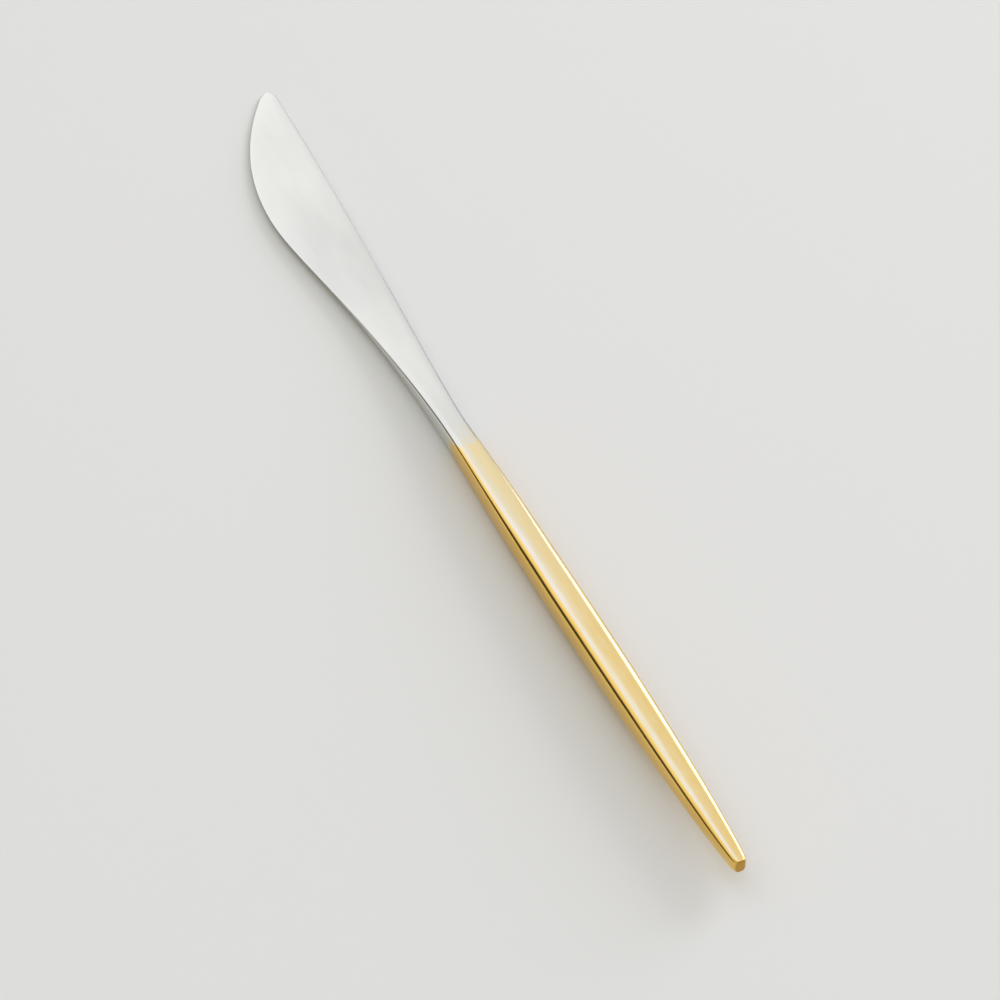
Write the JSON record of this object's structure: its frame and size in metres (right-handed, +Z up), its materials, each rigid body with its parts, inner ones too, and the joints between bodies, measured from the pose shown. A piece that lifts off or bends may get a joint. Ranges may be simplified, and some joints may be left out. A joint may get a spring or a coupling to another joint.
{
  "type": "table knife",
  "caption": "Slim table knife: round-bellied polished steel blade with a straight spine and long neck, its notched tang cemented in a tapering hollow gold-coloured handle",
  "frame": {"origin": "under the middle of the knife's bounding box, on the surface that the knife lies on", "axes": "+X from the blade's tip to the handle's butt, +Y from the cutting edge to the spine, +Z up, with the knife lying on its side"},
  "size_m": [0.222, 0.0162, 0.0063],
  "materials": {
    "polished_steel": "fine-polished stainless steel",
    "gold_plate": "mirror-polished gold-coloured plating on steel",
    "cement": "set filler cement, matte"
  },
  "bodies": {
    "root": {"blade": "polished_steel", "upper_handle_shell": "gold_plate", "lower_handle_shell": "gold_plate", "tang_cement": "cement"}
  },
  "joints": []
}
